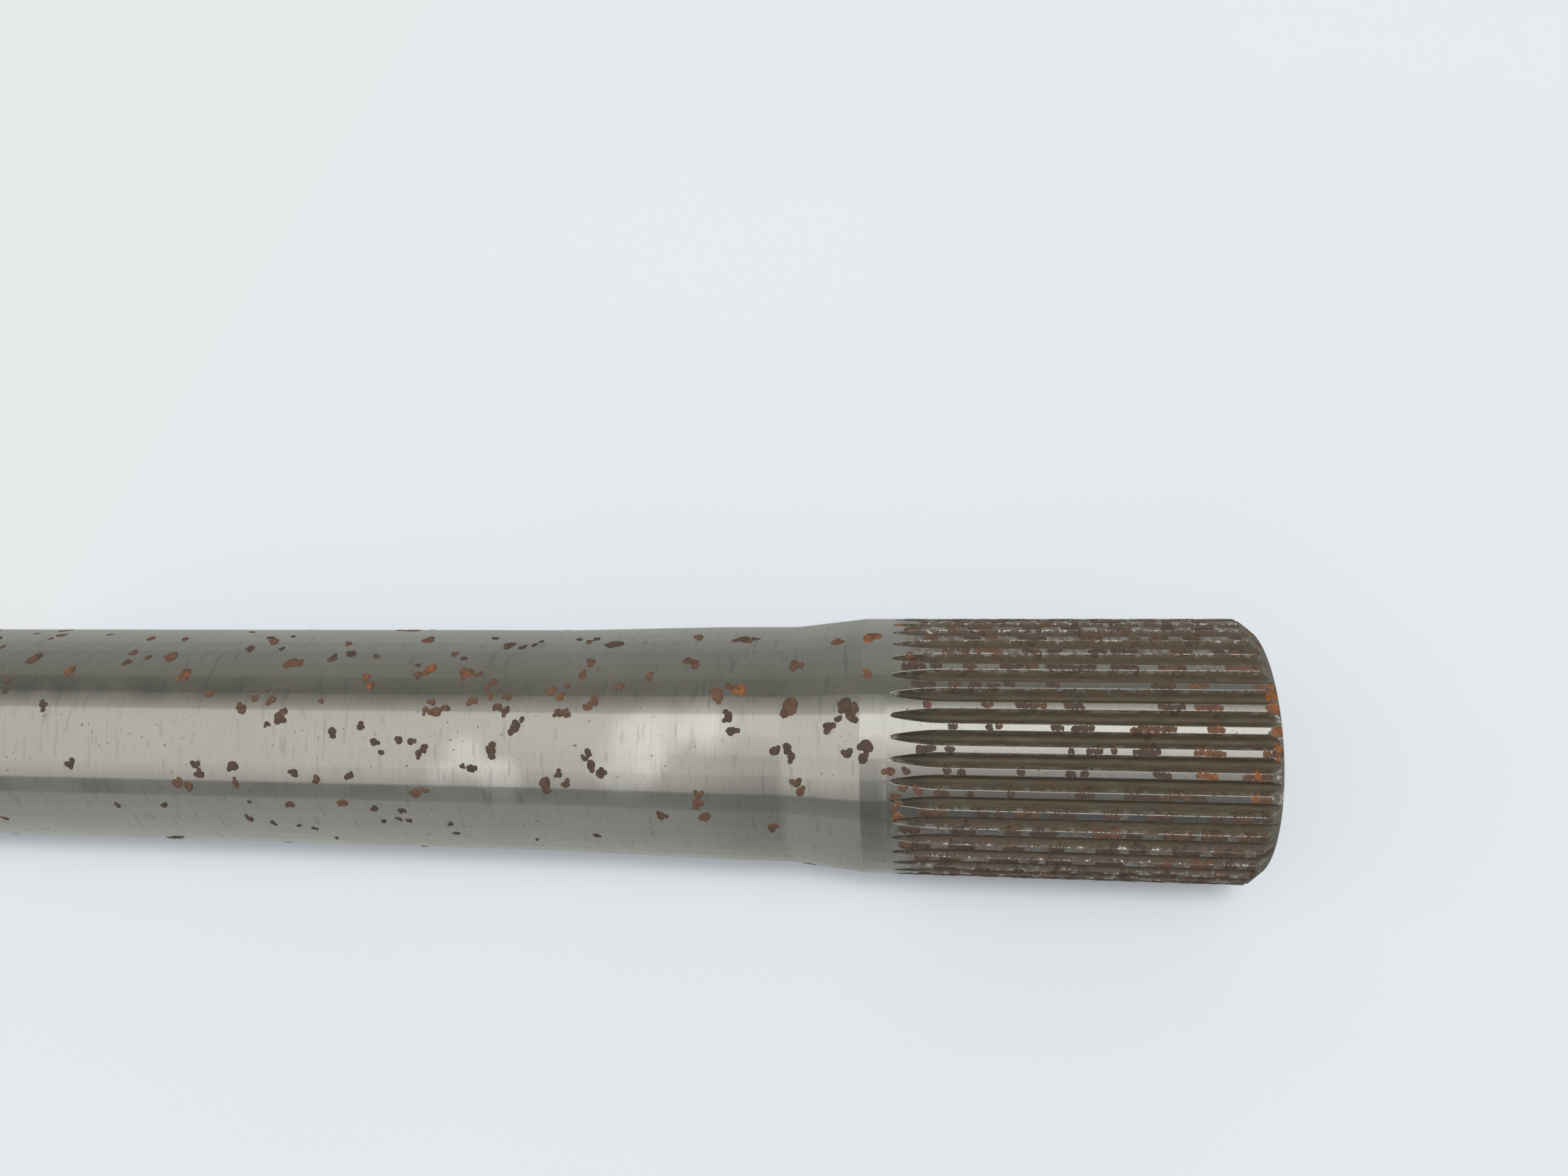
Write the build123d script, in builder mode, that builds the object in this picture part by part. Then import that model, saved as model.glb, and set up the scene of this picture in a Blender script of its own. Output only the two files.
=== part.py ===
from build123d import *
from math import acos, cos, pi, radians, sin, sqrt, tan
import os

# Splined drive shaft, turned, hobbed and ground from one steel bar.
# It stands on its plain end, with its axis along Z and the spline at the top.
# The origin is the centre of the plain end face. The sizes below run up the
# shaft from there. All lengths are in millimetres and all angles in degrees.

# Plain round body
body_length = 147.2
plain_chamfer = 1.5

# Long gentle taper up to the neck, then a steep flare up to the ground land
taper_length = 27.0
taper_step = 0.6                 # the neck's radius less the body's
taper_blend = 120.0              # radius that blends both ends of the taper
neck_length = 13.0
flare_length = 12.2
flare_step = 1.45                # the spline's radius less the neck's
flare_blend = 14.0               # radius that blends the neck into the flare

# Ground land between the flare's edge and the tips of the grooves
land_length = 4.7

# Involute spline with fillet roots: forty teeth of 24/48 pitch, at 30 degrees
teeth = 40
spline_diameter = 43.39          # over the teeth
pressure_angle = 30.0
dedendum = 0.9                   # root below the pitch circle, in modules
root_round = 0.2                 # height of the rounded bottom of a groove
full_depth_length = 49.6         # from the end of the run-outs to the end face
hob_radius = 24.0                # the run-outs climb out of the metal on it

# Splined end
end_chamfer_length = 2.2
end_chamfer_height = 1.75

# Centre holes of the lathe, in both ends
centre_radius = 4.2
centre_angle = 60.0
pilot_radius = 2.0
pilot_depth = 9.0

# Worked out from the values above
module = spline_diameter / (teeth + 1)
spline_radius = spline_diameter / 2
pitch_radius = module * teeth / 2
base_radius = pitch_radius * cos(radians(pressure_angle))
root_radius = pitch_radius - dedendum * module
groove_depth = spline_radius - root_radius
neck_radius = spline_radius - flare_step
body_radius = neck_radius - taper_step
run_out_length = sqrt(groove_depth * (2 * hob_radius - groove_depth))
taper_top = body_length + taper_length
neck_top = taper_top + neck_length
flare_top = neck_top + flare_length
full_depth_start = flare_top + land_length + run_out_length
shaft_top = full_depth_start + full_depth_length


def involute(angle):
    """Involute function of a pressure angle in radians."""
    return tan(angle) - angle


def flank_point(radius, side):
    """Point at a radius on a flank of the groove at +X; side is 1 or -1."""
    angle_there = acos(base_radius / radius)
    tooth_half = pi / (2 * teeth) + involute(radians(pressure_angle)) - involute(angle_there)
    groove_half = pi / teeth - tooth_half
    return (radius * cos(groove_half), side * radius * sin(groove_half))


# One groove as the hob leaves it: straight at full depth, and climbing out
# below that on the hob's own radius, which draws the groove to a point
overcut = 0.8                    # the hob stands this far out of the metal
run_out_turn = 40.0              # enough for the hob to leave the metal
flank_foot = root_radius + root_round
flank_top = spline_radius + overcut
flank_radii = [flank_foot + (flank_top - flank_foot) * step / 3 for step in range(4)]
hob_axis = Axis((root_radius + hob_radius, 0, full_depth_start), (0, -1, 0))

with BuildPart() as groove:
    with BuildSketch(Plane.XY.offset(full_depth_start)) as groove_section:
        with BuildLine():
            left = Spline(*[flank_point(radius, 1) for radius in flank_radii])
            right = Spline(*[flank_point(radius, -1) for radius in flank_radii])
            ThreePointArc(left @ 0, (root_radius, 0), right @ 0)
            Line(left @ 1, right @ 1)
        make_face()
    extrude(amount=full_depth_length + overcut)
    revolve(groove_section.sketch, axis=hob_axis, revolution_arc=run_out_turn)

# Shaft: the turned blank, its two centre holes, and the grooves
with BuildPart() as splined_shaft:
    with BuildSketch(Plane.XZ):
        with BuildLine():
            Polyline(
                (body_radius, plain_chamfer),
                (body_radius - plain_chamfer, 0),
                (0, 0),
                (0, shaft_top),
                (spline_radius - end_chamfer_height, shaft_top),
                (spline_radius, shaft_top - end_chamfer_length),
                (spline_radius, flare_top),
            )
            FilletPolyline(
                (spline_radius, flare_top),
                (neck_radius, neck_top),
                (neck_radius, taper_top),
                (body_radius, body_length),
                (body_radius, plain_chamfer),
                radius=(flare_blend, taper_blend, taper_blend),
            )
        make_face()
    revolve(axis=Axis.Z)
    with Locations(Plane.XY.offset(shaft_top), -Plane.XY):
        CounterSinkHole(pilot_radius, centre_radius, pilot_depth, centre_angle)
    with PolarLocations(0, teeth):
        add(groove.part, mode=Mode.SUBTRACT)

splined_shaft.part.label = "splined_shaft"
os.makedirs("parts", exist_ok=True)
export_step(splined_shaft.part, "parts/splined_shaft.step")
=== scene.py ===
import math
import random

import bpy
import numpy as np
from mathutils import Matrix, Vector


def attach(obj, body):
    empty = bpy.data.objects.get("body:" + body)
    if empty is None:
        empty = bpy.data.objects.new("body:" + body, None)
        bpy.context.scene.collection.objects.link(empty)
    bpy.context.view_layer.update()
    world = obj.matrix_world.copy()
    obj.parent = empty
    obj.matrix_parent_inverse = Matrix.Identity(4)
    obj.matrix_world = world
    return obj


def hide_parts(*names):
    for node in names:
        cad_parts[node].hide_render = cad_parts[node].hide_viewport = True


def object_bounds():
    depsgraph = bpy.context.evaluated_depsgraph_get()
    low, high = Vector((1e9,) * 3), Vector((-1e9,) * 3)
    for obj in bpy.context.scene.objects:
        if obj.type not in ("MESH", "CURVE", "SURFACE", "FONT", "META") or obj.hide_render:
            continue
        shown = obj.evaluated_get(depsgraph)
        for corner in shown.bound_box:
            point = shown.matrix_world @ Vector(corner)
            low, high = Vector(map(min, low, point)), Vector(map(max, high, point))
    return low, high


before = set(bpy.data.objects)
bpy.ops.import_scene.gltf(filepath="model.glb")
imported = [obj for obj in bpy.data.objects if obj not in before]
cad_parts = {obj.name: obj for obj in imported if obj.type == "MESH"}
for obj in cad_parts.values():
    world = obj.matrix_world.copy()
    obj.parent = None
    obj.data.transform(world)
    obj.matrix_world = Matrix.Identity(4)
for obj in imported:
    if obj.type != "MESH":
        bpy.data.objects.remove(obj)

MM = 0.001
cad_low, cad_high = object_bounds()
random.seed(40)

# ---------------------------------------------------------------- the shaft's sizes, in millimetres
SHAFT_TOP = cad_high.z / MM
SPLINE_RADIUS = cad_high.x / MM
TEETH = 40
PRESSURE_ANGLE = math.radians(30)
DEDENDUM = 0.9                       # in modules
ROOT_ROUND = 0.2
HOB_RADIUS = 24.0
FULL_DEPTH_LENGTH = 49.6
LAND_LENGTH = 4.7
FLARE_LENGTH = 12.2
FLARE_STEP = 1.45
FLARE_BLEND = 14.0
NECK_LENGTH = 13.0
TAPER_LENGTH = 27.0
TAPER_STEP = 0.6
TAPER_BLEND = 120.0
PLAIN_CHAMFER = 1.5
END_CHAMFER_LENGTH = 2.2
END_CHAMFER_HEIGHT = 1.75
CENTRE_RADIUS = 4.2
PILOT_RADIUS = 2.0
PILOT_DEPTH = 9.0

MODULE = 2 * SPLINE_RADIUS / (TEETH + 1)
PITCH_RADIUS = MODULE * TEETH / 2
BASE_RADIUS = PITCH_RADIUS * math.cos(PRESSURE_ANGLE)
ROOT_RADIUS = PITCH_RADIUS - DEDENDUM * MODULE
GROOVE_DEPTH = SPLINE_RADIUS - ROOT_RADIUS
NECK_RADIUS = SPLINE_RADIUS - FLARE_STEP
BODY_RADIUS = NECK_RADIUS - TAPER_STEP
RUN_OUT_LENGTH = math.sqrt(GROOVE_DEPTH * (2 * HOB_RADIUS - GROOVE_DEPTH))
FULL_DEPTH_START = SHAFT_TOP - FULL_DEPTH_LENGTH
GROOVE_TIP = FULL_DEPTH_START - RUN_OUT_LENGTH
FLARE_TOP = GROOVE_TIP - LAND_LENGTH
NECK_TOP = FLARE_TOP - FLARE_LENGTH
TAPER_TOP = NECK_TOP - NECK_LENGTH
BODY_TOP = TAPER_TOP - TAPER_LENGTH
PITCH_ANGLE = 2 * math.pi / TEETH


# ---------------------------------------------------------------- the shaft's surface
def ramp(height, corner, softness):
    """0 below a corner and height - corner above it, rounded over the softness."""
    away = height - corner
    return (away + math.sqrt(away * away + softness * softness)) / 2


def outline(height):
    """Radius of the turned shaft at a height, before its grooves are cut."""
    taper_slope = TAPER_STEP / TAPER_LENGTH
    flare_slope = FLARE_STEP / FLARE_LENGTH
    taper_softness = TAPER_BLEND * taper_slope / 2
    taper = ramp(height, BODY_TOP, taper_softness) - ramp(height, TAPER_TOP, taper_softness)
    flare = ramp(height, NECK_TOP, FLARE_BLEND * flare_slope / 2)
    radius = min(SPLINE_RADIUS, BODY_RADIUS + taper_slope * taper + flare_slope * flare)
    if height < PLAIN_CHAMFER:
        radius = BODY_RADIUS - PLAIN_CHAMFER + height
    chamfer_start = SHAFT_TOP - END_CHAMFER_LENGTH
    if height > chamfer_start:
        radius -= END_CHAMFER_HEIGHT * (height - chamfer_start) / END_CHAMFER_LENGTH
    return radius


def involute(angle):
    return math.tan(angle) - angle


def groove_section():
    """Heights above the root, and half widths there, of the hob's tooth."""
    heights, halves = [], []
    for step in range(25):
        radius = ROOT_RADIUS + ROOT_ROUND + (GROOVE_DEPTH + 0.9 - ROOT_ROUND) * step / 24
        there = math.acos(BASE_RADIUS / radius)
        tooth_half = PITCH_ANGLE / 4 + involute(PRESSURE_ANGLE) - involute(there)
        half = PITCH_ANGLE / 2 - tooth_half
        heights.append(radius * math.cos(half) - ROOT_RADIUS)
        halves.append(radius * math.sin(half))
    round_height, round_half = heights[0], halves[0]
    round_radius = (round_half ** 2 + round_height ** 2) / (2 * round_height)
    for step in range(12, -1, -1):
        half = round_half * step / 13
        heights.insert(0, round_radius - math.sqrt(round_radius ** 2 - half ** 2))
        halves.insert(0, half)
    return np.array(heights), np.array(halves)


HOB_HEIGHTS, HOB_HALVES = groove_section()


def groove_floor(across, height):
    """Distance from the axis plane of the groove's surface, across mm from its middle."""
    deep = np.interp(across, HOB_HALVES, HOB_HEIGHTS)
    past = max(0.0, FULL_DEPTH_START - height)
    return ROOT_RADIUS + HOB_RADIUS - math.sqrt(max((HOB_RADIUS - deep) ** 2 - past ** 2, 0.0))


def groove_half(height, radius):
    """Half of the groove's width where it meets the given radius, or 0 past its tip."""
    if height < GROOVE_TIP or groove_floor(0.0, height) >= radius:
        return 0.0
    low, high = 0.0, 1.6
    for _ in range(30):
        middle = (low + high) / 2
        if math.hypot(groove_floor(middle, height), middle) < radius:
            low = middle
        else:
            high = middle
    return low


GROOVE_STEPS = (0.15, 0.32, 0.5, 0.68, 0.84, 0.95, 1.0)    # across half a groove
EDGE_WIDTH = 0.07                                           # support loop beside each land's edge
SMALLEST_HALF = 0.12                                        # keeps the columns apart past the tips


def half_pitch(height, radius):
    """Angle, radius and depth of the points over half a pitch, from a groove's middle to a land's."""
    half = groove_half(height, radius)
    spread = max(half, SMALLEST_HALF)
    points = []
    for step in (0.0,) + GROOVE_STEPS:
        across = spread * step
        floor = groove_floor(across, height) if across < half or (step == 0.0 and half > 0.0) else None
        if floor is None:
            points.append((math.asin(across / radius), radius, 0.0))
        else:
            there = math.hypot(floor, across)
            points.append((math.atan2(across, floor), min(there, radius), max(0.0, radius - there)))
    edge = math.asin(spread / radius)
    middle = PITCH_ANGLE / 2
    points.append((edge + EDGE_WIDTH / radius, radius, 0.0))
    points.append(((edge + middle) / 2 + EDGE_WIDTH / 2 / radius, radius, 0.0))
    points.append((middle, radius, 0.0))
    return points


def fine_row(height, radius):
    """A ring of points at a height, with the grooves in it."""
    points = half_pitch(height, radius)
    pitch = points + [(PITCH_ANGLE - angle, there, deep) for angle, there, deep in points[-2:0:-1]]
    ring = []
    for tooth in range(TEETH):
        for angle, there, deep in pitch:
            turn = tooth * PITCH_ANGLE + angle
            ring.append((there * math.cos(turn), there * math.sin(turn), height, deep))
    return ring


COARSE_STEP = 4                      # the ungrooved rings keep every fourth column


def coarse_row(height, radius, like):
    """A ring of points at a height, at every fourth column of a fine ring."""
    ring = []
    for x, y, _, _ in like[::COARSE_STEP]:
        turn = math.atan2(y, x)
        ring.append((radius * math.cos(turn), radius * math.sin(turn), height, 0.0))
    return ring


def steps(low, high, count):
    return [low + (high - low) * step / count for step in range(count)]


def build_shaft():
    """The whole shaft as one closed mesh, in rings from the plain end's centre to the splined end's."""
    plain_face = BODY_RADIUS - PLAIN_CHAMFER
    end_face = SPLINE_RADIUS - END_CHAMFER_HEIGHT
    cone_depth = (CENTRE_RADIUS - PILOT_RADIUS) / math.tan(math.radians(30))
    hole = [
        (PILOT_DEPTH, PILOT_RADIUS * 0.5), (PILOT_DEPTH, PILOT_RADIUS),
        (cone_depth, PILOT_RADIUS), (0.05, CENTRE_RADIUS), (0.0, CENTRE_RADIUS + 0.05),
    ]
    bottom = hole + [(0.0, plain_face * part) for part in (0.4, 0.6, 0.8, 0.95)] + [(0.0, plain_face - 0.05)]
    side_heights = [0.03] + steps(0.3, PLAIN_CHAMFER, 3) + [PLAIN_CHAMFER - 0.04, PLAIN_CHAMFER + 0.06]
    side_heights += steps(3.0, BODY_TOP - 4, 48) + steps(BODY_TOP - 4, TAPER_TOP + 4, 20)
    side_heights += steps(TAPER_TOP + 4, NECK_TOP - 3, 6) + steps(NECK_TOP - 3, NECK_TOP + 3, 14)
    side_heights += steps(NECK_TOP + 3, FLARE_TOP - 0.4, 8)
    side_heights += [FLARE_TOP - 0.4, FLARE_TOP - 0.06, FLARE_TOP, FLARE_TOP + 0.06, FLARE_TOP + 0.4]
    side_heights += steps(FLARE_TOP + 1, GROOVE_TIP - 1.2, 3) + [GROOVE_TIP - 1.2]
    fine_heights = [GROOVE_TIP - 0.9, GROOVE_TIP - 0.3, GROOVE_TIP]
    fine_heights += [GROOVE_TIP + RUN_OUT_LENGTH * (step / 26) ** 1.3 for step in range(1, 26)]
    chamfer_start = SHAFT_TOP - END_CHAMFER_LENGTH
    fine_heights += steps(FULL_DEPTH_START, chamfer_start - 0.1, 22)
    fine_heights += [chamfer_start - 0.1, chamfer_start, chamfer_start + 0.1]
    fine_heights += steps(chamfer_start + 0.3, SHAFT_TOP - 0.03, 10)
    fine_heights += [SHAFT_TOP - 0.03]
    fine = [fine_row(height, outline(height)) for height in fine_heights]
    first, last = fine[0], fine[-1]
    rows = [coarse_row(height, radius, first) for height, radius in bottom]
    rows += [coarse_row(height, outline(height), first) for height in side_heights]
    rows += fine
    top = [(0.0, end_face - 0.05)] + [(0.0, end_face * part) for part in (0.95, 0.8, 0.6, 0.4)] + hole[::-1]
    rows += [coarse_row(SHAFT_TOP - height, radius, last) for height, radius in top]

    points, faces, starts = [], [], []
    for row in rows:
        starts.append(len(points))
        points += row
    for lower, upper in zip(range(len(rows) - 1), range(1, len(rows))):
        low_count, high_count = len(rows[lower]), len(rows[upper])
        low, high = starts[lower], starts[upper]
        count = min(low_count, high_count)
        low_step, high_step = low_count // count, high_count // count
        for column in range(count):
            following = (column + 1) % count
            face = [low + (column * low_step + part) % low_count for part in range(low_step + 1)]
            face += [high + (column * high_step + part) % high_count for part in range(high_step, -1, -1)]
            faces.append(face)
    for start, count, height in ((starts[0], len(rows[0]), PILOT_DEPTH),
                                 (starts[-1], len(rows[-1]), SHAFT_TOP - PILOT_DEPTH)):
        centre = len(points)
        points.append((0.0, 0.0, height, 0.0))
        for column in range(count):
            face = [start + column, start + (column + 1) % count, centre]
            faces.append(face[::-1] if start == starts[0] else face)
    mesh = bpy.data.meshes.new("steel_shaft")
    mesh.from_pydata([(x * MM, y * MM, z * MM) for x, y, z, _ in points], [], faces)
    depth = mesh.attributes.new("groove_depth", "FLOAT", "POINT")
    depth.data.foreach_set("value", [point[3] for point in points])
    mesh.polygons.foreach_set("use_smooth", [True] * len(faces))
    mesh.validate()
    piece = bpy.data.objects.new("steel_shaft", mesh)
    bpy.context.scene.collection.objects.link(piece)
    return piece


shaft = build_shaft()


# ---------------------------------------------------------------- rust patches
FACING = math.radians(-87.1)         # polar angle of the side that the camera sees square on


def floor_radius(angle, height):
    """Distance from the axis of the shaft's real surface, grooves and all."""
    radius = outline(height)
    phase = abs((angle + PITCH_ANGLE / 2) % PITCH_ANGLE - PITCH_ANGLE / 2)
    if height <= GROOVE_TIP or phase > groove_half(height, radius) / radius:
        return radius
    low, high = 0.0, radius * math.sin(phase) + 0.01
    for _ in range(14):
        middle = (low + high) / 2
        if math.atan2(middle, groove_floor(middle, height)) < phase:
            low = middle
        else:
            high = middle
    return min(radius, math.hypot(groove_floor(low, height), low))


RIM_POINTS = 18
RINGS = ((1.0, -0.3), (0.84, 0.55), (0.5, 0.95))     # share of the size, share of the thickness


def patch_rim(length, width, squareness, ragged):
    """Outline of a patch, in mm along and across the shaft."""
    waves = [(count, random.uniform(0, ragged / count ** 0.5), random.uniform(0, 2 * math.pi))
             for count in (2, 3, 5, 7)]
    rim = []
    for number in range(RIM_POINTS):
        turn = 2 * math.pi * number / RIM_POINTS
        swell = 1 + sum(size * math.cos(count * turn + start) for count, size, start in waves)
        along = math.copysign(abs(math.cos(turn)) ** squareness, math.cos(turn))
        across = math.copysign(abs(math.sin(turn)) ** squareness, math.sin(turn))
        rim.append((length / 2 * along * swell, width / 2 * across * swell))
    return rim


class Patches:
    """Thin closed pads of rust that follow the shaft's surface, gathered into one mesh."""

    def __init__(self):
        self.points, self.faces, self.fresh = [], [], []

    def point(self, height, angle, lift, fresh):
        height = min(max(height, 0.2), SHAFT_TOP - 0.05)
        radius = floor_radius(angle, height) + lift
        self.points.append((radius * math.cos(angle), radius * math.sin(angle), height))
        self.fresh.append(fresh)

    def pad(self, height, angle, length, width, thickness, fresh, squareness=1.0, ragged=0.16):
        rim = patch_rim(length, width, squareness, ragged)
        radius = outline(height)
        start = len(self.points)
        for share, lift in RINGS:
            for along, across in rim:
                self.point(height + along * share, angle + across * share / radius, lift * thickness, fresh)
        self.point(height, angle, thickness, fresh)
        self.point(height, angle, -0.3, fresh)
        top, under = start + len(RINGS) * RIM_POINTS, start + len(RINGS) * RIM_POINTS + 1
        for number in range(RIM_POINTS):
            after = (number + 1) % RIM_POINTS
            for ring in range(len(RINGS) - 1):
                outer, inner = start + ring * RIM_POINTS, start + (ring + 1) * RIM_POINTS
                self.faces.append((outer + number, inner + number, inner + after, outer + after))
            last = start + (len(RINGS) - 1) * RIM_POINTS
            self.faces.append((last + number, top, last + after))
            self.faces.append((start + number, start + after, under))

    def spot(self, height, angle, size, fresh):
        """A lumpy spot: one larger pad with one or two smaller ones grown into its side."""
        radius = outline(height)
        stretch = random.uniform(0.9, 1.2)
        thickness = 0.035 + 0.012 * size
        self.pad(height, angle, 0.72 * size * stretch, 0.72 * size / stretch, thickness, fresh)
        for _ in range(random.choice((1, 2, 2))):
            turn = random.uniform(0, 2 * math.pi)
            away = size * random.uniform(0.28, 0.45)
            part = size * random.uniform(0.35, 0.55)
            self.pad(height + away * math.cos(turn), angle + away * math.sin(turn) / radius, part, part,
                     thickness * 0.8, fresh + random.uniform(-0.15, 0.1))


# Spots that the camera's side shows: mm from the splined end, degrees round from the side that the
# camera faces, size in mm, and how fresh (orange) the rust is, from 0 to 1.
SPOTS = (
    (213, -40, 3.2, 0.4), (214, -65, 2.2, 0.7), (204, -33, 2.6, 0.9), (206, -13, 2.0, 0.1), (200, 17, 2.2, 0.1),
    (194, -39, 1.8, 0.3), (194, -46, 2.0, 0.8), (194, -60, 2.2, 0.9), (186, -44, 2.8, 0.9), (181, -30, 3.0, 0.9),
    (175, -20, 2.1, 0.7), (168, -12, 2.4, 0.3), (166, -18, 1.6, 0.5), (163, -17, 2.0, 0.7), (161, -8, 2.8, 0.2),
    (160, -11, 1.4, 0.2), (163, -5, 1.3, 0.2), (162, -39, 3.2, 0.6), (169, -58, 2.6, 0.8), (172, -50, 2.2, 0.3),
    (155, -42, 2.3, 0.2), (152, -46, 2.4, 0.1), (154, -55, 1.8, 0.8), (147, -44, 1.5, 0.4), (147, -30, 2.2, 0.9),
    (146, -26, 2.1, 0.9), (154, -17, 1.3, 0.4), (151, -2, 2.0, 0.0), (146, -4, 1.8, 0.0), (143.5, 3, 1.8, 0.0),
    (142, 8, 1.3, 0.0), (176, 16, 1.9, 0.1), (175.5, 21, 2.3, 0.2), (169, 16, 2.6, 0.1), (180, 26, 2.6, 0.6),
    (178, 27, 2.4, 0.6), (169, 25, 1.8, 0.4), (158, 19, 2.0, 0.1), (154, 22, 1.9, 0.2), (148, 20, 1.8, 0.1),
    (193, 41, 1.5, 0.1), (184, 40, 1.5, 0.2), (160, 37, 2.0, 0.3), (150, 35, 2.2, 0.7), (169, 48, 1.8, 0.2),
    (140, -59, 2.8, 0.6), (133, -46, 1.6, 0.5), (136, -36, 2.6, 1.0), (138, -32, 1.9, 0.4), (124, -55, 2.6, 0.2),
    (129, -33, 2.7, 0.9), (127, -32, 1.5, 0.5), (124, -28, 1.9, 0.7), (125, -25, 1.3, 0.8), (124, -21, 1.6, 0.7),
    (127, -18, 2.0, 0.8), (121, -20, 1.8, 0.5), (134, -17, 1.5, 0.4), (135, -13, 1.6, 0.4), (133, -12, 2.5, 0.5),
    (131.5, -14, 1.8, 0.3), (122.5, -15, 1.9, 0.4), (121, -13, 1.9, 0.2), (119, -5, 2.5, 0.1), (118, -9, 1.3, 0.1),
    (139, 2, 1.8, 0.1), (137, 2.5, 1.6, 0.1), (134.5, 5, 1.7, 0.1), (135.5, 8, 1.8, 0.1), (123, 6, 2.5, 0.2),
    (126.5, 15, 2.1, 0.0), (128, 14, 1.2, 0.0), (112, -12.5, 1.8, 0.3), (110.5, -11.5, 1.9, 0.3),
    (113.5, -24, 1.9, 0.9), (112, -20, 1.9, 0.9), (111, -26, 1.2, 0.7), (109, -32, 2.0, 0.8), (108, -40, 2.3, 0.7),
    (107, -15, 1.9, 0.5), (106, -17.5, 1.9, 0.6), (110, -58, 1.8, 0.6), (105, -55, 3.2, 0.2), (102, -26, 1.6, 0.7),
    (97.5, -31, 1.8, 0.8), (91.5, -40, 2.2, 0.4), (90, -38, 2.2, 0.4), (91, -61, 2.6, 0.8), (83, -58, 3.4, 0.3),
    (86, -23, 2.4, 0.7), (85.5, -20, 2.3, 0.7), (84, -26, 1.6, 0.6), (82.5, -24, 2.6, 1.0), (83.5, -11, 2.2, 0.1),
    (83, -4.5, 2.2, 0.1), (106.5, 6, 1.7, 0.1), (107, 9, 1.4, 0.1), (106, 12, 2.2, 0.2), (104.5, 16, 2.2, 0.1),
    (111.5, 17, 1.6, 0.2), (114, 22, 2.9, 0.3), (110.5, 22, 1.8, 0.3), (137, 29, 2.2, 0.5), (135, 27, 1.4, 0.4),
    (88.5, 25, 1.8, 0.5), (88.5, 29, 2.3, 0.5), (87.5, 36, 2.2, 0.5), (95, 37, 2.2, 0.4), (107, 53, 1.7, 0.1),
    (73.5, -38, 2.5, 0.7), (67, -51, 2.6, 0.7), (61, -54, 3.4, 1.0), (61.5, -30, 2.2, 0.9), (73.7, -16, 4.0, 0.4),
    (65, -16.5, 3.0, 0.2), (63.5, -16, 1.4, 0.2), (64, -12, 2.6, 0.1), (66, -10, 1.5, 0.1), (67.5, -7, 2.1, 0.1),
    (76, 4, 2.2, 0.1), (74, 2, 1.9, 0.1), (73.3, 6, 1.9, 0.1), (64.5, 4.5, 1.9, 0.0), (61.5, 1, 2.9, 0.0),
    (62, 6, 2.3, 0.0), (72.5, 18, 1.9, 0.3), (72, 22, 2.0, 0.5), (77, 42, 2.0, 0.4), (57.8, 11, 2.1, 0.8),
    (55.3, 11, 1.6, 0.1), (56, 18, 1.8, 0.5), (53.5, 19, 2.2, 0.6), (57.3, 21.5, 1.8, 0.3), (57.2, 26, 2.0, 0.5),
    (57, 31.5, 2.2, 1.0), (56, 46, 2.0, 0.7), (56.6, -66, 2.0, 1.0), (54.5, -38, 2.8, 0.6),
    (165, 51, 1.4, 0.0), (160.5, 53, 1.2, 0.0), (158, 55, 1.3, 0.0), (145, 39, 1.5, 0.1), (140, 39, 1.5, 0.0),
    (144, 47, 1.3, 0.0), (141, 45, 1.2, 0.0), (139.5, 46, 1.3, 0.0), (132, 48, 1.2, 0.0), (132, 56, 1.3, 0.0),
    (167.5, 36, 1.1, 0.3), (118, 60, 1.0, 0.0), (155.5, 66, 1.0, 0.0), (204, -66, 1.5, 0.4), (190.5, -42, 1.5, 0.5),
    (187, -60, 1.7, 0.6), (170.5, -62, 1.6, 0.1), (166.5, -64, 1.3, 0.1), (166, -50, 1.4, 0.0), (138.5, -38, 1.1, 0.2),
    (131, -43, 1.5, 0.0), (127.5, -62, 1.5, 0.1), (121.5, -52, 1.5, 0.0), (119.5, -55, 1.3, 0.0),
    (118.6, -58, 1.2, 0.0), (112, -60, 1.4, 0.0), (109, -60, 1.4, 0.0), (106.5, -54, 1.3, 0.1), (81, -58, 1.6, 0.0),
    (21, -6, 1.6, 0.05), (19.5, -4, 1.5, 0.1), (18.6, -1, 1.5, 0.05), (20.2, 0.5, 1.3, 0.1),
)

# Stretches of rust on the lands that the camera faces: a land's angle from the camera's side, then
# pairs of mm from the splined end.
LAND_RUST = {
    -34.3: ((56, 52.5), (51.4, 50), (46.4, 44.6), (40.8, 37.3), (36.8, 35), (33.8, 26.5), (24, 20), (17, 13), (7, 2)),
    -25.3: ((54.4, 51), (48.6, 47), (45.6, 44), (43, 41.3), (40.4, 38.8), (33.8, 32), (18.4, 15), (12.9, 10.3), (3.4, 0)),
    -16.3: ((52.6, 51.6), (43.6, 42.3), (38.5, 35.4), (35.2, 34.3), (31.4, 28.7), (17.6, 13.9), (12.4, 8.7), (2.3, 0)),
    -7.3: ((48.8, 47.6), (43, 42.4), (41.6, 41), (33.4, 31.8), (30.4, 27.5), (21.8, 15.5), (10.8, 8.7), (1.6, 0)),
    1.7: ((53.7, 51), (49.2, 48.2), (31.4, 30.4), (28.4, 26.2), (24.8, 24.2), (21.6, 17.9), (12.9, 8.7), (3.2, 0)),
    10.7: ((49.6, 48.7), (47.4, 46.5), (38.5, 37.7), (31.4, 30.2), (29.3, 28.4), (18.7, 16.5), (12.4, 10), (6.1, 2.3)),
    19.7: ((51, 49), (46, 45.3), (40, 39.2), (29.9, 27.5), (22.9, 18), (17.4, 11.4), (4.9, 2.3)),
}
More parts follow.
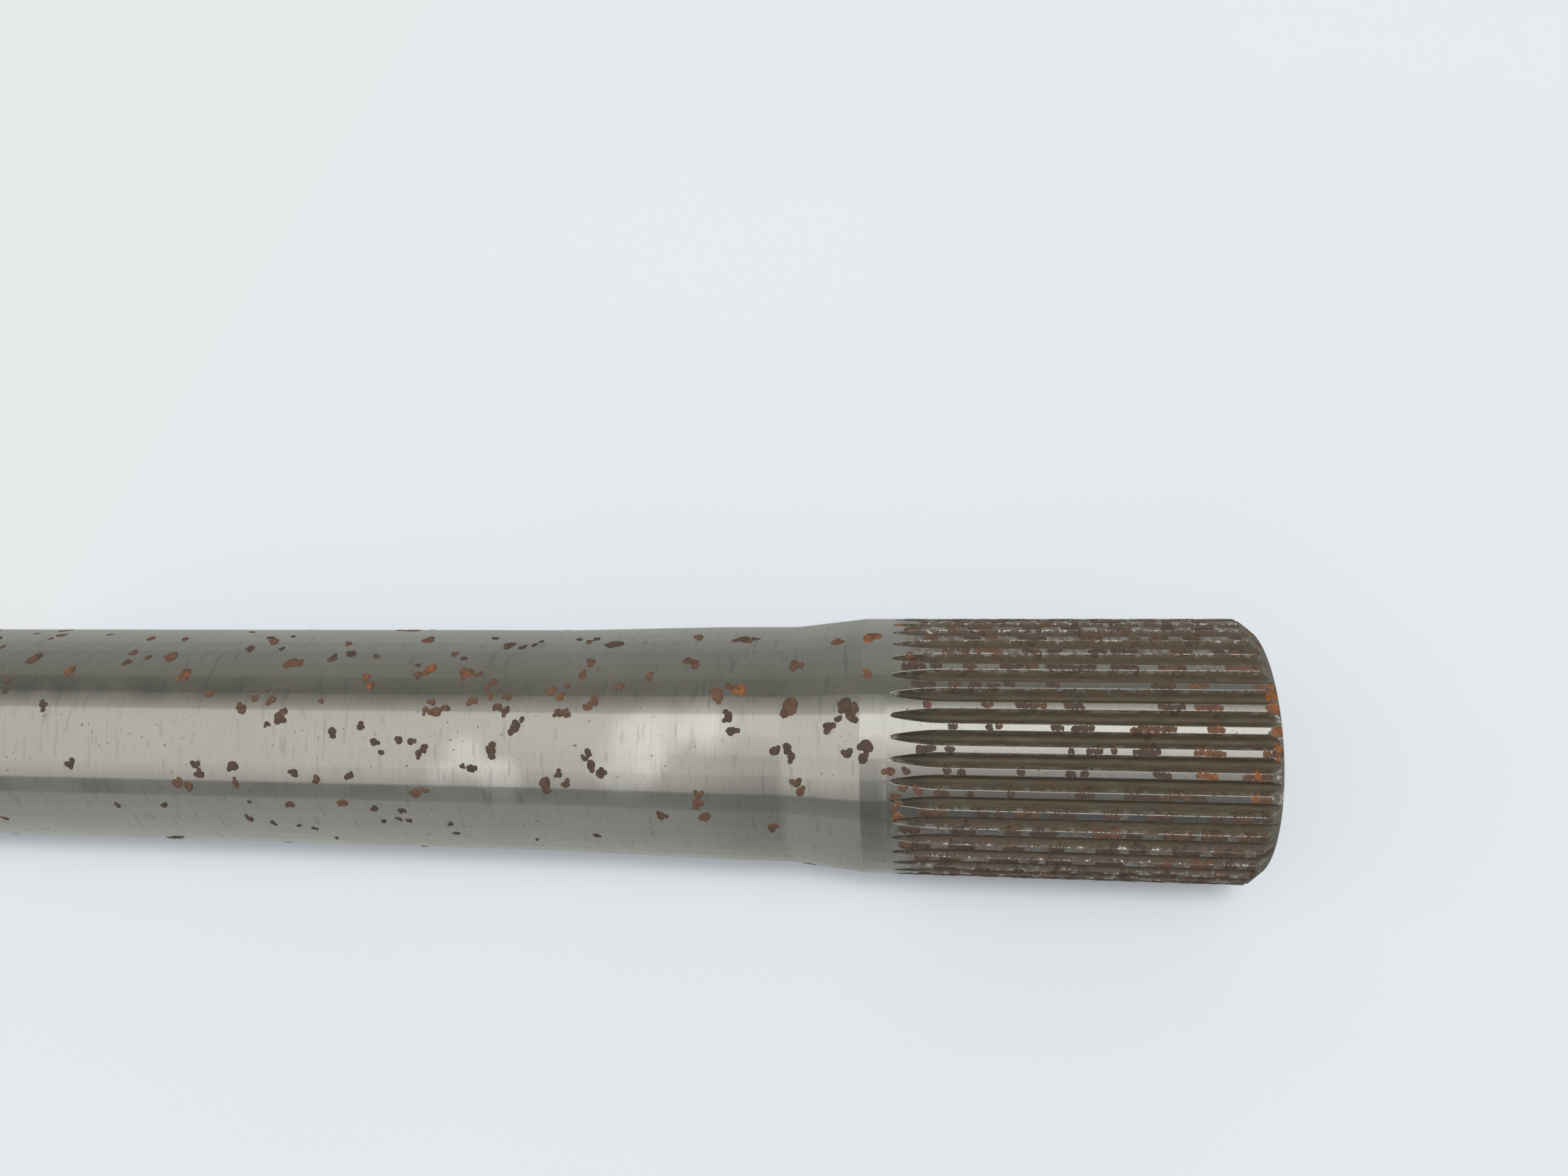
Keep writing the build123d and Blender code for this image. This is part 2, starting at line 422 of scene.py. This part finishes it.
LAND_HALF = 0.53                     # mm, half of a land's width
FEED = 2.95                          # mm between the marks that the cutter left


CHAMFER_RUST = ((1.0, -27, 1.8), (1.2, -23, 1.6), (0.8, -18, 2.0), (0.9, 0, 1.8), (1.2, 4, 1.3), (4.2, 10.5, 1.6))


def add_shown_spots(patches):
    for from_end, degrees, size, fresh in SPOTS:
        patches.spot(SHAFT_TOP - from_end, FACING + math.radians(degrees), size, fresh)
    for from_end, degrees, size in CHAMFER_RUST:
        patches.spot(SHAFT_TOP - from_end, FACING + math.radians(degrees), size, 1.2)


def add_land_stretch(patches, angle, far, near, fresh):
    """Rust that bridges a land from groove to groove between two distances from the end."""
    place = near
    while place < far - 0.3:
        length = min(random.uniform(0.7, 1.6), far - place + 0.2)
        patches.pad(SHAFT_TOP - place - 0.5 * length, angle + random.uniform(-0.014, 0.014), length * 1.35,
                    2 * LAND_HALF * random.uniform(1.25, 1.8), 0.04, fresh + random.uniform(-0.12, 0.12),
                    squareness=0.9, ragged=0.24)
        place += length * random.uniform(0.7, 0.95)


def add_land_rust(patches):
    """As seen on the lands that the camera faces, and by chance on the others."""
    shown = {}
    for degrees, stretches in LAND_RUST.items():
        land = round((FACING + math.radians(degrees)) / PITCH_ANGLE - 0.5) % TEETH
        shown[land] = stretches
    for land in range(TEETH):
        angle = (land + 0.5) * PITCH_ANGLE
        if land in shown:
            for far, near in shown[land]:
                fresh = random.uniform(0.4, 1.05) if near < 11 else random.uniform(-0.05, 0.35)
                add_land_stretch(patches, angle, far, near, fresh)
            continue
        place = random.uniform(0, 3)
        while place < 54:
            length = random.uniform(0.9, 4.5)
            fresh = random.choice((0.0, 0.1, 0.1, 0.2, 0.3, 0.6))
            add_land_stretch(patches, angle, place + length, place, fresh)
            place += length + random.uniform(0.8, 5.5)


def add_chance_spots(patches):
    """Clusters scattered at random over the parts that the camera doesn't show."""
    for _ in range(95):
        height = random.uniform(3, GROOVE_TIP)
        turn = random.uniform(math.radians(72), math.radians(288))
        fresh = random.uniform(0.0, 0.9)
        for _ in range(random.choice((1, 1, 2, 2, 3))):
            patches.spot(height, FACING + turn, random.uniform(1.1, 2.6), fresh)
            height += random.uniform(-2.2, 2.2)
            turn += random.uniform(-0.09, 0.09)
    for _ in range(35):
        patches.spot(random.uniform(3, 50), FACING + random.uniform(-1.2, 1.2), random.uniform(1.0, 2.2),
                     random.random())


def build_rust():
    patches = Patches()
    add_shown_spots(patches)
    add_land_rust(patches)
    add_chance_spots(patches)
    mesh = bpy.data.meshes.new("rust_spots")
    mesh.from_pydata([(x * MM, y * MM, z * MM) for x, y, z in patches.points], [], patches.faces)
    fresh = mesh.attributes.new("fresh", "FLOAT", "POINT")
    fresh.data.foreach_set("value", patches.fresh)
    mesh.polygons.foreach_set("use_smooth", [True] * len(patches.faces))
    piece = bpy.data.objects.new("rust_spots", mesh)
    bpy.context.scene.collection.objects.link(piece)
    return piece


rust_spots = build_rust()


# ---------------------------------------------------------------- short names for shader nodes
class Graph:
    def __init__(self, owner):
        owner.use_nodes = True
        self.nodes, self.links = owner.node_tree.nodes, owner.node_tree.links

    def add(self, kind, inputs=(), **settings):
        made = self.nodes.new("ShaderNode" + kind)
        for name, value in settings.items():
            setattr(made, name, value)
        for name, value in dict(inputs).items():
            self.put(made.inputs[name], value)
        return made

    def put(self, socket, value):
        if isinstance(value, bpy.types.NodeSocket):
            self.links.new(value, socket)
        elif isinstance(value, tuple) and len(value) == 3 and socket.type == "RGBA":
            socket.default_value = (*value, 1.0)
        else:
            socket.default_value = value

    def math(self, operation, first, second=0.0, clamp=False):
        return self.add("Math", {0: first, 1: second}, operation=operation, use_clamp=clamp).outputs[0]

    def smooth(self, value, low, high, to_low=0.0, to_high=1.0):
        """to_low below low, to_high above high, and a smooth step between."""
        made = self.add("MapRange", {"Value": value, "From Min": low, "From Max": high, "To Min": to_low,
                                     "To Max": to_high}, interpolation_type="SMOOTHSTEP")
        return made.outputs["Result"]

    def mix(self, factor, first, second):
        """A colour between two colours."""
        return self.add("Mix", {0: factor, 6: first, 7: second}, data_type="RGBA").outputs[2]

    def between(self, factor, first, second):
        """A number between two numbers."""
        return self.add("Mix", {0: factor, 2: first, 3: second}, data_type="FLOAT").outputs[0]

    def noise(self, vector, scale, detail=2.0, roughness=0.5):
        made = self.add("TexNoise", {"Vector": vector, "Scale": scale, "Detail": detail, "Roughness": roughness})
        return made.outputs["Fac"]

    def scaled(self, vector, scale):
        return self.add("VectorMath", {0: vector, 1: scale}, operation="MULTIPLY").outputs["Vector"]

    def ramp(self, value, stops, interpolation="EASE"):
        made = self.add("ValToRGB", {"Fac": value})
        made.color_ramp.interpolation = interpolation
        elements = made.color_ramp.elements
        elements.remove(elements[1])
        elements[0].position = stops[0][0]
        elements[0].color = (*stops[0][1], 1.0)
        for place, colour in stops[1:]:
            elements.new(place).color = (*colour, 1.0)
        return made.outputs["Color"]


# ---------------------------------------------------------------- materials
# Painted highlights, where the steel's colour is brightened to stand for a nearby lamp's soft reflection on the body:
# mm from the splined end, degrees from the camera's side, reach in mm.
PAINTED_HIGHLIGHTS = ((127, 13, 6), (122, 19, 5), (132, 20, 4), (101, 12, 7), (99, 2, 7), (95, -6, 6), (88, -9, 6))


def steel_material():
    material = bpy.data.materials.new("steel")
    graph = Graph(material)
    shader = graph.nodes["Principled BSDF"]
    place = graph.add("TexCoord").outputs["Object"]
    mm = graph.scaled(place, (1000.0, 1000.0, 1000.0))
    height = graph.add("SeparateXYZ", {0: mm}).outputs["Z"]
    depth = graph.add("Attribute", attribute_name="groove_depth").outputs["Fac"]

    # turned steel: fine rings, broken darker smudges along them, and soft clouds
    rings = graph.noise(graph.scaled(mm, (0.06, 0.06, 4.0)), 1.0, 3.0, 0.6)
    smudge = graph.noise(graph.scaled(mm, (0.22, 0.22, 1.1)), 1.0, 2.0, 0.5)
    smudges = graph.math("MULTIPLY", graph.smooth(smudge, 0.56, 0.72), 0.35)
    clouds = graph.noise(mm, 0.09, 3.0, 0.55)
    steel = graph.mix(clouds, (0.52, 0.51, 0.485), (0.66, 0.65, 0.62))
    # painted highlight: soft pale patches in the steel's colour, standing for a nearby lamp's reflection
    for from_end, degrees, reach in PAINTED_HIGHLIGHTS:
        turn = FACING + math.radians(degrees)
        centre = (BODY_RADIUS * math.cos(turn), BODY_RADIUS * math.sin(turn), SHAFT_TOP - from_end)
        away = graph.add("VectorMath", {0: mm, 1: centre}, operation="DISTANCE").outputs["Value"]
        ragged = graph.math("ADD", away, graph.math("MULTIPLY", graph.math("SUBTRACT", clouds, 0.5), 8.0))
        steel = graph.mix(graph.smooth(ragged, reach * 0.3, reach, 0.75, 0.0), steel, (0.86, 0.86, 0.85))
    steel = graph.mix(graph.smooth(rings, 0.3, 0.7, 0.0, 0.16), steel, (0.36, 0.35, 0.33))
    steel = graph.mix(smudges, steel, (0.30, 0.31, 0.33))
    ground = graph.smooth(height, FLARE_TOP - 0.04, FLARE_TOP + 0.04)
    steel = graph.mix(graph.math("MULTIPLY", ground, 0.55), steel, (0.70, 0.70, 0.69))
    pits = graph.noise(mm, 1.3, 2.0, 0.5)
    pit = graph.smooth(pits, 0.70, 0.75)
    steel = graph.mix(graph.math("MULTIPLY", pit, 0.7), steel, (0.12, 0.09, 0.075))

    # the brown coat that fills the grooves: it creeps over the lands' edges and is rubbed thin, or
    # off, in streaks and sparkles along the flanks, between the marks that the cutter left
    parts = graph.add("SeparateXYZ", {0: mm})
    turn = graph.math("ARCTAN2", parts.outputs["Y"], parts.outputs["X"])
    pitches = graph.math("FRACT", graph.math("MULTIPLY", turn, TEETH / (2 * math.pi)))
    across = graph.math("ABSOLUTE", graph.math("SUBTRACT", pitches, 0.5))
    across = graph.math("MULTIPLY", across, 2 * math.pi * SPLINE_RADIUS / TEETH)
    nibbles = graph.math("SUBTRACT", graph.noise(mm, 1.7, 4.0, 0.65), 0.5)
    creep = graph.smooth(graph.math("ADD", across, nibbles), 0.60, 0.65)
    creep = graph.math("MULTIPLY", creep, graph.smooth(height, FULL_DEPTH_START - 1.5, FULL_DEPTH_START + 1.0))
    on_spline = graph.smooth(height, SHAFT_TOP - 2.4, SHAFT_TOP - 2.0, 1.0, 0.0)
    creep = graph.math("MULTIPLY", creep, on_spline)
    feed_marks = graph.math("SINE", graph.math("MULTIPLY", height, 2 * math.pi / FEED))
    worn = graph.noise(graph.scaled(mm, (0.8, 0.8, 0.6)), 1.0, 3.0, 0.6)
    worn = graph.math("ADD", worn, graph.math("MULTIPLY", feed_marks, 0.06))
    sparkle = graph.math("SUBTRACT", graph.noise(mm, 3.5, 2.0, 0.6), 0.5)
    bare = graph.smooth(graph.math("ADD", worn, graph.math("MULTIPLY", sparkle, 0.5)), 0.48, 0.62, 0.02, 0.6)
    # where the grooves run out the coat is kept on and darkened to olive: partly the coat, partly a painted dark
    # reflection standing for the shade inside the run-out's scoop
    run_out = graph.smooth(height, FULL_DEPTH_START - 5.0, FULL_DEPTH_START - 1.0, 1.0, 0.0)
    skin = graph.between(run_out, 0.12, 0.04)
    coat = graph.math("DIVIDE", graph.math("SUBTRACT", depth, graph.between(run_out, bare, 0.02)), skin)
    coat = graph.math("MAXIMUM", graph.smooth(coat, 0.0, 1.0), creep)
    thin = graph.smooth(graph.noise(mm, 0.55, 4.0, 0.6), 0.50, 0.64)
    thin = graph.math("MULTIPLY", thin, graph.smooth(depth, 0.25, 0.75, 1.0, 0.0))
    coat = graph.math("MULTIPLY", coat, graph.between(thin, 1.0, 0.62))
    grain = graph.noise(graph.scaled(mm, (1.9, 1.9, 0.22)), 1.0, 5.0, 0.7)
    coat_colour = graph.mix(graph.smooth(grain, 0.3, 0.7), (0.088, 0.078, 0.056), (0.165, 0.142, 0.104))
    reddish = graph.smooth(graph.noise(graph.scaled(mm, (0.6, 0.6, 0.3)), 1.0, 4.0, 0.65), 0.46, 0.62)
    coat_colour = graph.mix(graph.math("MULTIPLY", reddish, 0.6), coat_colour, (0.145, 0.095, 0.067))
    coat_colour = graph.mix(graph.math("MULTIPLY", run_out, 0.7), coat_colour, (0.06, 0.062, 0.046))

    # freckles of rust on the spline's lands, thickest away from the side that the camera faces, and
    # a dull skin on the end chamfer
    facing_side = (math.cos(FACING) / SPLINE_RADIUS, math.sin(FACING) / SPLINE_RADIUS, 0.0)
    facing = graph.add("VectorMath", {0: mm, 1: facing_side}, operation="DOT_PRODUCT").outputs["Value"]
    freckles = graph.noise(mm, 0.85, 5.0, 0.62)
    splined = graph.smooth(height, GROOVE_TIP - 1.0, GROOVE_TIP + 5.0)
    near_end = graph.smooth(height, SHAFT_TOP - 2.9, SHAFT_TOP - 2.0)
    flat = graph.add("VectorMath", {0: graph.scaled(mm, (1.0, 1.0, 0.0))}, operation="LENGTH").outputs["Value"]
    face_edge = SPLINE_RADIUS - END_CHAMFER_HEIGHT
    near_end = graph.math("MULTIPLY", near_end, graph.smooth(flat, face_edge - 2.5, face_edge, 0.45, 1.0))
    threshold = graph.smooth(facing, 0.7, 0.93, 0.44, 0.64)
    threshold = graph.math("SUBTRACT", threshold, graph.math("MULTIPLY", near_end, 0.2))
    freckle = graph.smooth(graph.math("SUBTRACT", freckles, threshold), 0.0, 0.05)
    freckle = graph.math("MULTIPLY", freckle, graph.math("MULTIPLY", splined, 0.85))
    freckle_colour = graph.mix(graph.noise(mm, 1.6, 3.0), (0.085, 0.060, 0.045), (0.20, 0.15, 0.115))
    freckle_colour = graph.mix(near_end, freckle_colour, (0.13, 0.115, 0.085))

    colour = graph.mix(coat, steel, coat_colour)
    colour = graph.mix(freckle, colour, freckle_colour)
    rusty = graph.math("MAXIMUM", graph.math("MAXIMUM", coat, freckle), graph.math("MULTIPLY", pit, 0.6))
    graph.put(shader.inputs["Base Color"], colour)
    graph.put(shader.inputs["Metallic"], graph.math("SUBTRACT", 1.0, rusty))
    bright_rough = graph.between(ground, graph.smooth(clouds, 0.35, 0.65, 0.23, 0.30), 0.2)
    graph.put(shader.inputs["Roughness"], graph.between(rusty, bright_rough, 0.72))
    shader.inputs["Anisotropic"].default_value = 0.6
    shader.inputs["Anisotropic Rotation"].default_value = 0.25
    tangent = graph.add("Tangent", direction_type="RADIAL", axis="Z")
    graph.put(shader.inputs["Tangent"], tangent.outputs["Tangent"])

    relief = graph.math("ADD", graph.math("MULTIPLY", rings, 0.25), graph.math("MULTIPLY", rusty, 0.5))
    relief = graph.math("ADD", relief, graph.math("MULTIPLY", graph.math("MULTIPLY", grain, rusty), 0.6))
    bump = graph.add("Bump", {"Height": relief, "Strength": 0.35, "Distance": 0.00004})
    graph.put(shader.inputs["Normal"], bump.outputs["Normal"])
    return material


def rust_material():
    material = bpy.data.materials.new("rust")
    graph = Graph(material)
    shader = graph.nodes["Principled BSDF"]
    mm = graph.scaled(graph.add("TexCoord").outputs["Object"], (1000.0, 1000.0, 1000.0))
    fresh = graph.add("Attribute", attribute_name="fresh").outputs["Fac"]
    coarse = graph.noise(mm, 1.1, 4.0, 0.6)
    fine = graph.noise(mm, 5.0, 3.0, 0.6)
    old = graph.mix(coarse, (0.060, 0.040, 0.032), (0.155, 0.108, 0.085))
    brown = graph.mix(coarse, (0.095, 0.052, 0.036), (0.27, 0.15, 0.10))
    orange = graph.mix(coarse, (0.22, 0.07, 0.025), (0.52, 0.20, 0.06))
    shade = graph.math("ADD", fresh, graph.math("MULTIPLY", graph.math("SUBTRACT", coarse, 0.5), 0.9))
    mixed = graph.mix(graph.smooth(shade, 0.05, 0.6), old, brown)
    mixed = graph.mix(graph.smooth(shade, 0.8, 1.2), mixed, orange)
    graph.put(shader.inputs["Base Color"], mixed)
    graph.put(shader.inputs["Roughness"], graph.smooth(fine, 0.3, 0.7, 0.6, 0.9))
    relief = graph.math("ADD", graph.math("MULTIPLY", coarse, 0.6), graph.math("MULTIPLY", fine, 0.4))
    bump = graph.add("Bump", {"Height": relief, "Strength": 0.6, "Distance": 0.0001})
    graph.put(shader.inputs["Normal"], bump.outputs["Normal"])
    return material


shaft.data.materials.append(steel_material())
rust_spots.data.materials.append(rust_material())
for piece in (shaft, rust_spots):
    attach(piece, "root")
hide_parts("splined_shaft")

# ---------------------------------------------------------------- camera
CAMERA_AZIMUTH = math.radians(2.9)
towards = Vector((math.sin(CAMERA_AZIMUTH), -math.cos(CAMERA_AZIMUTH), 0.0))
aside = Vector((math.cos(CAMERA_AZIMUTH), math.sin(CAMERA_AZIMUTH), 0.0))
axis = Vector((0.0, 0.0, 1.0))
camera_foot = axis * (SHAFT_TOP - 51.1) * MM
camera_place = camera_foot + towards * 188.5 * MM
aim = camera_foot - axis * 26.64 * MM - aside * 27.42 * MM
back = (camera_place - aim).normalized()
right = (axis - back * axis.dot(back)).normalized()
right = Matrix.Rotation(math.radians(-0.23), 3, back) @ right
up = back.cross(right)
camera_data = bpy.data.cameras.new("camera")
camera_data.sensor_width = 36.0
camera_data.lens = 24.6
camera_data.clip_start = 0.01
camera = bpy.data.objects.new("camera", camera_data)
camera.matrix_world = Matrix.Translation(camera_place) @ Matrix((right, up, back)).transposed().to_4x4()
bpy.context.scene.collection.objects.link(camera)
bpy.context.scene.camera = camera

# ---------------------------------------------------------------- backdrop, floor and light
# The pale backdrop stands against the shaft's far side, as the table that the real one lies on does.
TILT = math.radians(60.15)
away = towards * math.sin(TILT) - aside * math.cos(TILT)     # out of the backdrop
beside = towards * math.cos(TILT) + aside * math.sin(TILT)   # along it, towards the picture's bottom
PALE = (0.71, 0.755, 0.79)


def pale_material(name, colour, lift, see_through_back):
    """Matt and pale, and lifted a little for the camera only. A see-through back is for views from
    behind, so that they show the shaft."""
    material = bpy.data.materials.new(name)
    graph = Graph(material)
    graph.nodes.clear()
    mottle = graph.noise(graph.add("TexCoord").outputs["Object"], 6.0, 3.0, 0.5)
    shade = graph.mix(graph.smooth(mottle, 0.3, 0.7), colour, tuple(part * 0.985 for part in colour))
    surface = graph.add("BsdfDiffuse", {"Color": shade}).outputs[0]
    to_camera = graph.add("LightPath").outputs["Is Camera Ray"]
    glow = graph.add("Emission", {"Color": lift, "Strength": to_camera}).outputs[0]
    surface = graph.add("AddShader", {0: surface, 1: glow}).outputs[0]
    if see_through_back:
        backfacing = graph.add("NewGeometry").outputs["Backfacing"]
        clear = graph.add("BsdfTransparent").outputs[0]
        mixed = graph.add("MixShader", {0: backfacing, 1: surface, 2: clear})
        surface = mixed.outputs[0]
    graph.add("OutputMaterial", {"Surface": surface})
    return material


def sheet(name, corners, material):
    mesh = bpy.data.meshes.new(name)
    mesh.from_pydata(corners, [], [(0, 1, 2, 3)])
    mesh.materials.append(material)
    made = bpy.data.objects.new(name, mesh)
    bpy.context.scene.collection.objects.link(made)
    return made


foot = -away * SPLINE_RADIUS * MM
low, high, wide = Vector((0, 0, 0)), axis * 2.5, beside * 3.0
backdrop = sheet("backdrop", [foot + low - wide, foot + low + wide, foot + high + wide, foot + high - wide],
                 pale_material("backdrop", (0.90, 0.945, 0.985), (0.099, 0.112, 0.149), True))
floor = sheet("floor", [Vector((-3, -3, 0)), Vector((3, -3, 0)), Vector((3, 3, 0)), Vector((-3, 3, 0))],
              pale_material("floor", (0.90, 0.945, 0.985), (0.45, 0.4575, 0.4615), False))
for surface in (backdrop, floor):            # seen, but they take no light from the shaft
    for ray in ("diffuse", "glossy", "transmission", "shadow"):
        setattr(surface, "visible_" + ray, False)


# Brightness round the shaft's axis. Degrees go up from the backdrop's near side; the strengths are
# for light from below, from a little below and from level or above; and then the tint.
WARM = (1.0, 0.975, 0.90)
OLIVE = (1.0, 0.99, 0.86)
COOL = (0.985, 1.0, 0.955)
LIGHT_BANDS = (
    (-180, (0.40, 0.40, 0.35), COOL), (-100, (0.52, 0.46, 0.40), COOL), (-60, (0.46, 0.42, 0.24), COOL),
    (-40, (0.40, 0.40, 0.19), COOL), (-20, (0.40, 0.40, 0.14), COOL), (-13, (0.38, 0.38, 0.12), COOL),
    (-7, (0.28, 0.33, 0.11), COOL), (-1, (0.14, 0.26, 0.11), COOL), (5, (0.13, 0.23, 0.11), COOL),
    (10, (0.34, 0.36, 0.12), COOL), (15, (0.68, 0.60, 0.14), WARM), (20, (0.75, 0.76, 0.17), WARM),
    (28, (0.76, 0.82, 0.22), WARM), (38, (0.76, 0.82, 0.34), WARM), (51, (0.76, 0.82, 0.56), WARM),
    (64, (0.76, 0.82, 0.95), WARM), (77, (0.76, 0.82, 1.05), WARM), (84, (0.75, 0.81, 1.02), WARM),
    (88, (0.68, 0.74, 0.90), WARM), (91, (0.50, 0.57, 0.72), WARM), (94, (0.30, 0.38, 0.50), OLIVE),
    (97, (0.16, 0.25, 0.32), OLIVE), (103, (0.10, 0.18, 0.19), OLIVE), (112, (0.12, 0.20, 0.17), OLIVE),
    (122, (0.21, 0.24, 0.21), OLIVE), (135, (0.30, 0.28, 0.30), OLIVE), (150, (0.27, 0.28, 0.28), COOL),
    (165, (0.33, 0.32, 0.30), COOL), (180, (0.40, 0.40, 0.35), COOL),
)


def light_band(graph, turn, level):
    stops = []
    for degrees, strengths, tint in LIGHT_BANDS:
        stops.append(((degrees + 180.0) / 360.0, tuple(part * strengths[level] for part in tint)))
    return graph.ramp(turn, stops, "B_SPLINE")


def studio_world():
    """Soft panels of light and shade round the shaft, and a pale ground for the camera."""
    world = bpy.data.worlds.new("studio")
    graph = Graph(world)
    graph.nodes.clear()
    direction = graph.add("TexCoord").outputs["Generated"]
    along_near = graph.add("VectorMath", {0: direction, 1: tuple(beside)}, operation="DOT_PRODUCT").outputs["Value"]
    along_away = graph.add("VectorMath", {0: direction, 1: tuple(away)}, operation="DOT_PRODUCT").outputs["Value"]
    turn = graph.math("ARCTAN2", along_away, along_near)
    turn = graph.math("ADD", graph.math("DIVIDE", turn, 2 * math.pi), 0.5)
    rise = graph.add("SeparateXYZ", {0: direction}).outputs["Z"]
    low, middle, level = (light_band(graph, turn, number) for number in range(3))
    panels = graph.mix(graph.smooth(rise, -0.6, -0.35), low, middle)
    panels = graph.mix(graph.smooth(rise, -0.22, -0.10), panels, level)
    polar = graph.smooth(graph.math("ABSOLUTE", rise), 0.75, 0.97)
    panels = graph.mix(polar, panels, (0.5, 0.5, 0.49))
    seen = graph.add("LightPath").outputs["Is Camera Ray"]
    colour = graph.mix(seen, panels, PALE)
    background = graph.add("Background", {"Color": colour, "Strength": 1.0})
    graph.add("OutputWorld", {"Surface": background.outputs[0]})
    bpy.context.scene.world = world


studio_world()
lamp_data = bpy.data.lights.new("window", "SUN")
lamp_data.energy = 0.9
lamp_data.angle = math.radians(14)
lamp = bpy.data.objects.new("window", lamp_data)
LAMP_TURN = math.radians(74)
lamp_side = beside * math.cos(LAMP_TURN) + away * math.sin(LAMP_TURN)
lamp.rotation_euler = lamp_side.to_track_quat("Z", "Y").to_euler()
lamp.visible_glossy = False
bpy.context.scene.collection.objects.link(lamp)
bpy.context.scene.view_settings.view_transform = "Standard"
